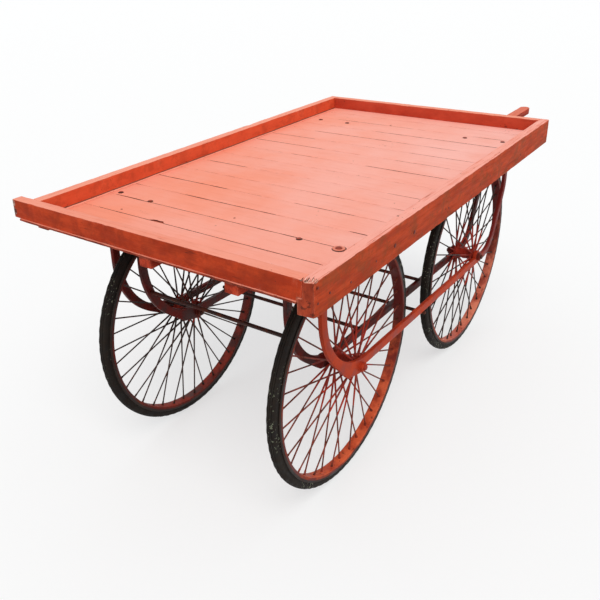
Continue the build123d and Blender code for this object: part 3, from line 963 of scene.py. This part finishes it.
for side_name, side in (("left", 1), ("right", -1)):
    low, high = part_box(f"side_rail_{side_name}")
    corners = rail_section(side)
    chips = [(deck_x - 0.362, (deck_y + side * inner_face, rail_top), 0.016, 0.0035),
             (deck_x + 0.21, (deck_y + side * outer_face, rail_top), 0.02, 0.0025)]
    if side_name == "right":
        chips += [(low.x, (deck_y - 0.452, rail_top), 0.014, 0.009),
                  (low.x + 0.012, (deck_y - outer_face, rail_top), 0.013, 0.006),
                  (low.x, (deck_y - outer_face, rail_drop), 0.02, 0.004)]
    settle(f"side_rail_{side_name}_worn",
           timber(lambda s: corners, low.x, high.x, along_cart, seed=5.0 * side, radius=0.002,
                  wear=0.0014, step=0.009, chips=chips),
           rail_paint if side_name == "right" else left_rail_paint, "cart",
           [f"side_rail_{side_name}"],
           other=(rail_end_paint, lambda place, facing: facing.x < -0.7))

# %% Front and rear boards
low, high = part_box("front_board")
rail_foot = deck_y - 0.4308


def front_section(y):
    # the board is notched over the rail's foot at its right end
    return box_corners(low.x, high.x, rail_step if y < rail_foot else low.z, high.z)


settle("front_board_worn",
       timber(front_section, low.y, high.y, across_cart, seed=25.3, radius=0.002, wear=0.0014,
              step=0.009, extra_stops=(rail_foot - 0.0001, rail_foot + 0.0001),
              chips=[(deck_y - 0.439, (deck_x - deck_end, rail_top), 0.018, 0.007),
                     (deck_y + 0.15, (deck_x - deck_end, low.z), 0.03, 0.002)]),
       front_board_paint, "cart", ["front_board"])
low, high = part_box("rear_board")
rear_section = box_corners(low.x, high.x, low.z, high.z)
settle("rear_board_worn",
       timber(lambda s: rear_section, low.y, high.y, across_cart, seed=23.0, radius=0.002,
              wear=0.0014, step=0.009,
              chips=[(deck_y + 0.1, (deck_x + 0.796, rail_top), 0.02, 0.002)]),
       rear_board_paint, "cart", ["rear_board"])

# %% [markdown]
# ## Painted shadow along the foot of the rim
# The corner where the deck meets a side rail lies in shade, and a dark line there is a painted
# contact shadow. It is a low strip with a sloping face, laid along each of the two rails. It sinks
# a little into planks and rail, so there is no gap beside it, and noise makes it wider here and
# thinner there. Paint could draw the line, but only a strip rounds off the sharp corner.

# %% Painted shadow along the rim
shadow_width, shadow_height = 0.0042, 0.0026
shadow_foot, shadow_half = 0.4432, 0.7955     # just inside the rails, and from end to end of the deck


def rim_foot_shadow(side):
    inner = deck_y + side * shadow_foot

    def section(s):
        wide = shadow_width * (0.75 + 0.5 * jitter(s, side, 0, 0.06))
        return [(inner, deck_top - 0.001), (inner - side * wide, deck_top - 0.001),
                (inner - side * wide * 0.85, deck_top + 0.0006), (inner, deck_top + shadow_height)]

    return timber(section, deck_x - shadow_half, deck_x + shadow_half, along_cart, seed=61.0 * side,
                  radius=0.0004, wear=0.0003, step=0.012)


settle("rim_foot_shadow", joined([rim_foot_shadow(1), rim_foot_shadow(-1)]), dirt_and_shade, "cart")

# %% [markdown]
# ## Splinters on the near corner
# The near front corner has been knocked, and the rail's end has split along its grain. A few thin
# splinters stand up with pale wood on them, and beside them lie the splits: dark slivers that paint
# the shade inside the cracks. Each one is a short four-sided sliver that tapers at both ends, laid
# along the grain. They are few enough to be placed one by one, which puts them just where the knock
# was.

# %% Splinters
def sliver(start, end, width, height, seed):
    start, end = Vector(start), Vector(end)
    along = (end - start).normalized()
    across = Vector((-along.y, along.x, 0)).normalized()
    sunk = Vector((0, 0, 0.0008))
    rings = []
    for k in range(9):
        share = k / 8
        full = 0.12 + 0.88 * sin(pi * min(1.0, share * 1.15 + 0.02)) ** 0.7
        middle = start.lerp(end, share) + across * 0.0006 * jitter(share, seed, 0, 0.25)
        half = width / 2 * full * (1 + 0.25 * jitter(share, seed, 4, 0.2))
        top = height * full
        rings.append([middle - across * half - sunk, middle + across * half - sunk,
                      middle + across * half * 0.6 + Vector((0, 0, top)),
                      middle - across * half * 0.6 + Vector((0, 0, top))])
    return skin(rings)


# start and end from the deck's middle, width and height, in millimetres
splinters = [((-829, -470), (-806, -462), 4.2, 1.0), ((-828, -461), (-812, -456), 3.6, 0.9),
             ((-827, -452), (-809, -447), 3.0, 0.8), ((-826, -474), (-801, -471), 2.6, 0.9)]
# the splits are dark slivers laid in, painted shade inside the cracks
splits = [((-825, -457), (-806, -450), 3.0, 0.25), ((-823, -466), (-800, -458), 3.2, 0.25),
          ((-828, -444), (-815, -441), 2.6, 0.25), ((-817, -472), (-806, -467), 2.2, 0.25)]
for piece_name, slivers, finish in (("corner_splinters", splinters, splinter_wood),
                                    ("corner_splits", splits, dirt_and_shade)):
    settle(piece_name,
           joined([sliver((deck_x + a[0] * mm, deck_y + a[1] * mm, rail_top),
                          (deck_x + b[0] * mm, deck_y + b[1] * mm, rail_top),
                          width * mm, height * mm, a[1] * 0.1)
                   for a, b, width, height in slivers]),
           finish, "cart")

# %% [markdown]
# ## Beams and bearers
# Three beams carry the planks, and four short bearers carry the feet of the bars. They are plain
# sawn timbers, mostly in the shade, so the same helper makes them without chips. The right beam
# runs on past the deck as the pushing shaft, and its tip is cut to a blunt point, which the
# section does by growing narrower.

# %% Beams and bearers
tip_length = 0.014
for beam_name in ("beam_inner_left", "beam_middle", "beam_inner_right"):
    low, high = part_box(beam_name)

    def beam_corners(s, low=low, high=high, tapers=beam_name.endswith("right")):
        tip = max(0.0, s - (high.x - tip_length)) if tapers else 0.0
        return box_corners(low.y + tip, high.y - tip, low.z, high.z)

    settle(f"{beam_name}_worn",
           timber(beam_corners, low.x, high.x, along_cart, seed=low.y * 40, radius=0.002,
                  wear=0.0014),
           beam_paint, "cart", [beam_name])
for end in ("front", "rear"):
    for side_name in ("left", "right"):
        low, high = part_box(f"cross_bearer_{end}_{side_name}")
        corners = box_corners(low.x, high.x, low.z, high.z)
        settle(f"cross_bearer_{end}_{side_name}_worn",
               timber(lambda s: corners, low.y, high.y, across_cart, seed=low.x * 9 + low.y,
                      radius=0.002, wear=0.0014),
               bearer_paint, "cart", [f"cross_bearer_{end}_{side_name}"])

# %% [markdown]
# ## Bearing bars
# The bars are flat iron, forged to shape with a round paddle where the axle passes. Their outline
# in the CAD model is right, but its edges are knife sharp. Copying the CAD mesh, welding it, taking
# out the flat triangles and adding a Bevel by angle keeps the outline and gives the edges a
# highlight. That is safer than drawing the outline a second time.

# %% Softened copies of CAD pieces
sharp_angle = radians(30)
flat_angle = radians(1.5)
weld_distance = 0.00002


def softened(node, name, material, body, width=0.0012):
    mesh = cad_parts[node].data.copy()
    mesh.name = name
    mesh.materials.clear()
    work = bmesh.new()
    work.from_mesh(mesh)
    bmesh.ops.remove_doubles(work, verts=work.verts, dist=weld_distance)
    bmesh.ops.dissolve_limit(work, angle_limit=flat_angle, verts=work.verts, edges=work.edges)
    sharp = [e for e in work.edges if len(e.link_faces) == 2
             and e.calc_face_angle(0) > sharp_angle]
    bmesh.ops.bevel(work, geom=sharp, offset=width, segments=2, profile=0.6,
                    affect="EDGES", clamp_overlap=True)
    bmesh.ops.recalc_face_normals(work, faces=work.faces)
    points = [v.co.copy() for v in work.verts]
    work.verts.index_update()
    faces = [tuple(v.index for v in f.verts) for f in work.faces]
    work.free()
    bpy.data.meshes.remove(mesh)
    return settle(name, (points, faces), material, body, [node], sharp=30)


bar_names = ("left_outer", "left_inner", "right_inner", "right_outer")
for bar_name in bar_names:
    # the near bar keeps the bright paint; the others are darker, partly weathering and partly
    # painted shade
    softened(f"bearing_bar_{bar_name}", f"bearing_bar_{bar_name}_forged",
             near_bar_paint if bar_name == "right_outer" else weathered_and_shaded_bar_paint, "cart")

# %% [markdown]
# ## Rods: cross ties
# The ties are plain round rods, a little bent with use, with domed ends. `tube` sweeps a round
# section along points and lets the radius change, which also serves for spokes and nipples. A
# curve with a bevel is the usual way, but a mesh is joined and checked more simply. The section's
# axes are carried from ring to ring, so the tube doesn't twist.

# %% Cross ties
def tube(points, radii, sides):
    rings = []
    across = None
    for i, point in enumerate(points):
        ahead = (points[min(i + 1, len(points) - 1)] - points[max(i - 1, 0)]).normalized()
        if across is None:
            across = ahead.orthogonal().normalized()
        across = (across - ahead * across.dot(ahead)).normalized()
        upward = ahead.cross(across)
        radius = radii[i] if hasattr(radii, "__len__") else radii
        rings.append([point + (across * cos(2 * pi * k / sides) + upward * sin(2 * pi * k / sides))
                      * radius for k in range(sides)])
    return skin(rings)


tie_steps = 30
for tie_name in ("cross_tie_front", "cross_tie_middle", "cross_tie_rear", "hanger_tie_front",
                 "hanger_tie_rear"):
    low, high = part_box(tie_name)
    radius = (high.x - low.x) / 2
    middle = (low + high) / 2
    stops = [low.y, low.y + radius * 0.3, low.y + radius * 0.8]
    stops += [low.y + radius * 0.8 + (high.y - low.y - 1.6 * radius) * k / tie_steps
              for k in range(1, tie_steps)]
    stops += [high.y - radius * 0.8, high.y - radius * 0.3, high.y]
    path = [Vector((middle.x + 0.0003 * jitter(middle.x, y, 0, 0.1), y,
                    middle.z + 0.0003 * jitter(middle.x, y, 5, 0.1))) for y in stops]
    widths = [radius * (0.55 if i in (0, len(stops) - 1) else 0.9 if i in (1, len(stops) - 2) else
                        0.985 + 0.015 * jitter(y, 3, 1, 0.03)) for i, y in enumerate(stops)]
    settle(f"{tie_name}_rod", tube(path, widths, 16), tie_paint, "cart", [tie_name])

# %% [markdown]
# ## Turned pieces: tyre, rim, hub and axle
# A tyre, rim or hub is one profile turned round the axle. The profile is a list of places along
# the axle and radii, in millimetres from the wheel's middle. The Screw modifier turns a profile
# too, but it can't change it on the way round. Here the tyre's tread is cut in by lowering two of
# every four steps of the shoulder, which gives worn blocks without another mesh.

# %% Turning, and the wheels' middles
wheel_middle = {}
for wheel in ("front_left", "front_right", "rear_left", "rear_right"):
    low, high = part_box(f"tyre_{wheel}")
    wheel_middle[wheel] = (low + high) / 2


def turned(profile, segments, centre, cut=None):
    # cut: how far a point is lowered, from its step round the axle, place along it and radius
    rings = []
    for i in range(segments):
        angle = 2 * pi * i / segments
        rings.append([centre + Vector((sin(angle) * r, along, cos(angle) * r))
                      for along, r in ((a * mm, (q - (cut(i, a, q) if cut else 0)) * mm)
                                       for a, q in profile)])
    return skin(rings, loop=True)


print("wheel middles", {name: tuple(round(v, 3) for v in at) for name, at in wheel_middle.items()})

# %% Tyre, rim and hub profiles
tread_floor, tread_cut = 369, 1.1     # mm: the radius where the tread starts, and how deep it is
tyre_profile = [(-12.8, 346.6), (-13.3, 350), (-13.4, 357), (-13.0, 359.5), (-12.6, 360.5),
                (-13.2, 362), (-13.5, 366), (-13.5, 370.5), (-12.9, 374), (-11.4, 377.2),
                (-8.8, 379.4), (-7.0, 380.0), (-6.2, 378.6), (-5.4, 378.6), (-4.8, 380.6),
                (-3.0, 380.9), (-1.2, 380.9), (-0.6, 379.4), (0.6, 379.4), (1.2, 380.9),
                (3.0, 380.9), (4.8, 380.6), (5.4, 378.6), (6.2, 378.6), (7.0, 380.0),
                (8.8, 379.4), (11.4, 377.2), (12.9, 374), (13.5, 370.5), (13.5, 366),
                (13.2, 362), (12.6, 360.5), (13.0, 359.5), (13.4, 357), (13.3, 350),
                (12.8, 346.6)]


def shoulder_notch(i, along, radius):
    worn = 0.25 * jitter(i * 0.31, along, 0, 1.0)
    if 6.5 < abs(along) < 13.6 and radius > tread_floor and i % 4 in (0, 1):
        return tread_cut + worn
    return abs(worn) if radius > tread_floor else 0.0


rim_profile = [(-17, 344.2), (-16.6, 342.9), (-15.4, 342.2), (-13, 342.0), (-7, 342.2),
               (-2.5, 342.0), (2.5, 342.0), (7, 342.2), (13, 342.0), (15.4, 342.2),
               (16.6, 342.9), (17, 344.2), (17, 350.6), (17, 356.0), (16.6, 357.4), (15.5, 358.0),
               (14.5, 357.3), (14.1, 356.0), (14.0, 348), (13.0, 346.0), (-13.0, 346.0),
               (-14.0, 348), (-14.1, 356.0), (-14.5, 357.3), (-15.5, 358.0), (-16.6, 357.4),
               (-17, 356.0), (-17, 350.6)]
flange_middle = 31.5
hub_end = [(-39.5, 8.1), (-39.5, 13.0), (-39.0, 14.2), (-37.5, 14.6), (-36.4, 16.6), (-34.4, 17.0),
           (-33.5, 18.5), (-33.5, 31.6), (-32.9, 32.8), (-flange_middle, 33.2), (-30.1, 32.8),
           (-29.5, 31.6), (-29.3, 22.5), (-27.5, 20.4), (-25.0, 19.2), (-20.0, 18.4), (-4.0, 18.0),
           (-3.0, 19.6)]
hub_profile = hub_end + [(-along, radius) for along, radius in reversed(hub_end)]
print("profiles of", len(tyre_profile), len(rim_profile), len(hub_profile), "points")

# %% Tyres, rims and hubs
rim_paints = {"front_left": maroon_rim_paint, "front_right": orange_rim_paint,
              "rear_left": faded_rim_paint, "rear_right": faded_rim_paint}
lip_radius, lip_half = 0.3505, 0.0139
tyre_steps, rim_steps, hub_steps = 288, 144, 48     # a block and a notch take four of the tyre's
for wheel, centre in wheel_middle.items():
    body = f"wheel_{wheel}"
    settle(f"tyre_{wheel}_tread", turned(tyre_profile, tyre_steps, centre, shoulder_notch),
           tyre_rubber, body, [f"tyre_{wheel}"], sharp=28)

    def on_rim_side(place, facing, centre=centre):
        # the outer faces of the rim beyond its painted lip, painted dark brown
        reach = Vector((place.x - centre.x, place.z - centre.z)).length
        return reach > lip_radius and abs(place.y - centre.y) > lip_half

    settle(f"rim_{wheel}_rolled", turned(rim_profile, rim_steps, centre), rim_paints[wheel], body,
           [f"rim_{wheel}"], other=(rim_side_brown, on_rim_side))
    settle(f"hub_{wheel}_turned", turned(hub_profile, hub_steps, centre), hub_paint, body,
           [f"hub_{wheel}"])

# %% [markdown]
# ## Spokes
# Each wheel has forty wire spokes. A spoke hooks through the hub flange with a bent elbow and a
# flat head, runs straight out and screws into a nipple at the rim. They leave the two flanges in
# turn, which braces the rim from both sides, and every second one of a flange hooks in from its
# other face. Each spoke is a tube along a few points with the elbow in it, and it is a little
# thicker at that end. Its head and nipple are short tubes of their own, joined into the same mesh.
# An Array modifier could copy one spoke round, but four kinds take turns, so each is worked out
# from its number.

# %% Spokes
spoke_count = 40
# the radius of the spoke's line at its hole, hook, elbow and end, in millimetres
hole_radius, hook_radius, elbow_radius, end_radius = 27.5, 28.2, 31.0, 343.0
# and how far along the axle: three from the flange's middle, and the end from the rim's
hole_depth, hook_reach, elbow_reach, end_reach = 2.6, 3.0, 3.9, 2.0
# the head stands on its side of the flange and the nipple on the rim: how far on, and the radius
head_profile = [(-0.0006, 0.0030), (0.0004, 0.0037), (0.0018, 0.0034), (0.0024, 0.0018)]
nipple_profile = [(-0.001, 0.0042), (0.003, 0.0040), (0.0035, 0.0031), (0.0125, 0.0030),
                  (0.0145, 0.0022)]
wire_sides = 8
butt_length = 0.012
# the wire is thicker at the hub, where it bends: one radius for each point of its path
butted = [0.0031] * 4 + [0.0030, 0.0027, 0.0024] + [0.0023] * 5


def wheel_spot(centre, radius, angle, along):
    turn = radians(angle)
    return centre + Vector((sin(turn) * radius, along, cos(turn) * radius)) * mm


def spoke_set(centre, phase):
    parts = []
    for i in range(spoke_count):
        flange = 1 if i % 2 else -1
        outside = 1 if (i // 2) % 2 else -1
        angle = i * 360 / spoke_count + phase
        rim_end, hole, hook, elbow = (
            wheel_spot(centre, radius, angle, flange * along) for radius, along in
            ((end_radius, end_reach), (hole_radius, flange_middle - outside * hole_depth),
             (hook_radius, flange_middle + outside * hook_reach),
             (elbow_radius, flange_middle + outside * elbow_reach)))
        butt = elbow + (rim_end - elbow).normalized() * butt_length
        path = [hole, hook, elbow, butt] + [butt.lerp(rim_end, k / 8) for k in range(1, 9)]
        parts.append(tube(path, butted, wire_sides))
        to_the_head = Vector((0, -flange * outside, 0))
        to_the_hub = (path[-2] - rim_end).normalized()
        for foot, way, profile in ((hole, to_the_head, head_profile),
                                   (rim_end, to_the_hub, nipple_profile)):
            parts.append(tube([foot + way * far for far, thick in profile],
                              [thick for far, thick in profile], wire_sides))
    return joined(parts)


wheel_phase = {"front_left": 0.3, "front_right": 12.5, "rear_left": 6.0, "rear_right": 1.5}
painted_reach = {"front_left": 0.05, "front_right": 0.15, "rear_left": 0.05, "rear_right": 0.1}
for wheel, centre in wheel_middle.items():

    def near_the_hub(place, facing, centre=centre, reach=painted_reach[wheel]):
        # the brush that painted the hub went on up the spokes
        return Vector((place.x - centre.x, place.z - centre.z)).length < reach

    settle(f"spokes_{wheel}_laced", spoke_set(centre, wheel_phase[wheel]),
           near_spoke_finish if wheel == "front_right" else spoke_finish, f"wheel_{wheel}",
           [f"spokes_{wheel}"], other=(hub_paint, near_the_hub))

# %% [markdown]
# ## Axles and nuts
# The axle's ends are threaded and carry a hexagon nut on a round washer, outside each bar. The
# thread is a profile of small ridges turned round the axle. The nuts are softened copies of the
# CAD ones, so their flats stay true. Nuts and washers were painted over with the bars, so they
# wear the bars' red.

# %% Axles and nuts
axle_half, thread_pitch, thread_turns = 70.0, 2.0, 9
thread = []
for k in range(thread_turns):
    start = -axle_half + 0.8 + k * thread_pitch
    thread += [(start, 7.4), (start + 0.8, 7.95), (start + 1.2, 7.95)]
axle_profile = [(-axle_half, 0.4), (-axle_half, 6.6)] + thread + [(-51.0, 8.0), (51.0, 8.0)]
axle_profile += [(-a, r) for a, r in reversed(thread)] + [(axle_half, 6.6), (axle_half, 0.4)]
washer_profile = [(52.0, 8.1), (52.0, 15.4), (52.4, 16.0), (53.3, 16.0), (53.8, 15.4), (53.8, 8.1)]
for wheel, centre in wheel_middle.items():
    settle(f"axle_{wheel}_threaded", turned(axle_profile, 24, centre),
           hub_paint if wheel == "front_right" else nut_finish, "cart",
           [f"axle_{wheel}"])
    nut_coat = near_bar_paint if wheel == "front_right" else nut_paint
    softened(f"axle_nuts_{wheel}", f"axle_nuts_{wheel}_hex", nut_coat, "cart",
             width=0.0009)
    settle(f"axle_washers_{wheel}",
           joined([turned(washer_profile, 32, centre),
                   turned([(-a, r) for a, r in washer_profile], 32, centre)]),
           nut_coat, "cart")

# %% [markdown]
# ## Nails, bolts and foot bolts
# Round bolt heads show on the deck over the bars' feet, painted over and ringed with rust and a
# painted shadow, and one stands on a wide pale washer. Their upright sides are darker, as painted
# shade round each head. Nails hold the planks and the rim. Each is a small turned profile stood on
# the face it holds. Under the deck, two hexagon bolts go through each foot of the bars.

# %% Fastener profiles
def stood(profile, place, axis, segments=20):
    # a turned profile (radius, height) stood on a face at a place, along an axis
    axis = Vector(axis).normalized()
    first = axis.orthogonal().normalized()
    second = axis.cross(first)
    rings = []
    for radius, height in profile:
        rings.append([Vector(place) + (first * cos(2 * pi * k / segments)
                                       + second * sin(2 * pi * k / segments)) * radius * mm
                      + axis * height * mm for k in range(segments)])
    return skin(rings)


washer_and_head = [(16.0, -0.6), (16.4, 0.5), (15.8, 1.3), (9.2, 1.5), (8.8, 2.2), (7.6, 3.4),
                   (4.6, 4.3), (1.2, 4.6)]
small_bolt = [(7.4, -0.5), (7.5, 0.8), (6.4, 2.0), (3.8, 2.6), (1.0, 2.9)]
nail_head = [(3.3, -0.6), (3.3, 0.3), (2.6, 0.7), (0.8, 0.8)]
old_bolt = [(5.6, -0.6), (5.6, 0.4), (4.6, 1.2), (2.4, 1.6), (0.8, 1.7)]
hex_head = [(9.5, -0.5), (10.6, 0.6), (10.6, 6.6), (9.4, 7.4), (1.0, 7.4)]
print("fastener profiles ready")

# %% Fasteners on the deck
upright = (0, 0, 1)
deck_fasteners = [(small_bolt, -557, -259), (small_bolt, -546, 270), (small_bolt, -534, 405),
                  (small_bolt, 575, 378), (small_bolt, 577, 253), (small_bolt, 584, -244),
                  (small_bolt, 593, -382), (nail_head, 626, 81), (nail_head, -639, 292),
                  (nail_head, -526, -28)]
washer_at = (deck_x - 0.558, deck_y - 0.375, deck_top)
head_radius, side_of_a_head = 0.008, 0.75


def on_the_deck(x, y):
    return (deck_x + x * mm, deck_y + y * mm, deck_top)


def on_the_bolt_head(place, facing):
    # the head in the middle of the washer, and every upright side, darker as painted shade round
    # the head
    return abs(facing.z) < side_of_a_head or (place - Vector(washer_at)).length < head_radius


settle("deck_washer", stood(washer_and_head, washer_at, upright), washer_paint, "cart",
       other=(bolt_paint, on_the_bolt_head))
# the bolts' upright sides are dark steel, partly as painted shade round each head
settle("deck_bolts",
       joined([stood(profile, on_the_deck(x, y), upright) for profile, x, y in deck_fasteners]),
       bolt_paint, "cart",
       other=(nail_finish, lambda place, facing: abs(facing.z) < side_of_a_head))

# %% Rust and painted shadow round the bolts
# a thin disc lies off the middle under each head and shows as a crescent: rust and a painted shadow
shadow_and_rust_rings = [(18.6, -559.5, -377)]
shadow_and_rust_rings += [(8.8 if x < 0 else 8.6, x - 1, y - 1) for profile, x, y in deck_fasteners
               if profile is small_bolt]
settle("rust_and_shadow_round_the_bolts",
       joined([stood([(ring, -0.5), (ring, 0.45), (ring - 1.0, 0.5), (1.0, 0.5)],
                     on_the_deck(x, y), upright) for ring, x, y in shadow_and_rust_rings]),
       nail_finish, "cart")

# %% Nails and old bolts in the right rail
outward = (0, -1, 0)
rail_nails = [(nail_head, x, z) for x, z in
              ((-813, 840), (-765, 808), (-674, 796), (-553, 801), (-813, 803), (-120, 800),
               (210, 804), (512, 798), (760, 806))]
rail_nails += [(old_bolt, -456, 806), (old_bolt, -346, 804)]
settle("rim_nails",
       joined([stood(profile, (deck_x + x * mm, deck_y - outer_face, z * mm), outward, 14)
               for profile, x, z in rail_nails]),
       rim_nail_finish, "cart")

# %% Foot bolts
foot_inset, bolt_spread, foot_underside = 0.040, 0.029, 0.764
foot_bolts = []
for bar_name in bar_names:
    low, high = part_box(f"bearing_bar_{bar_name}")
    middle_y = (low.y + high.y) / 2
    for x in (low.x + foot_inset, high.x - foot_inset):
        for reach in (-bolt_spread, bolt_spread):
            foot_bolts.append(stood(hex_head, (x + reach, middle_y, foot_underside), (0, 0, -1), 6))
settle("foot_bolts", joined(foot_bolts), nut_finish, "cart", sharp=20)
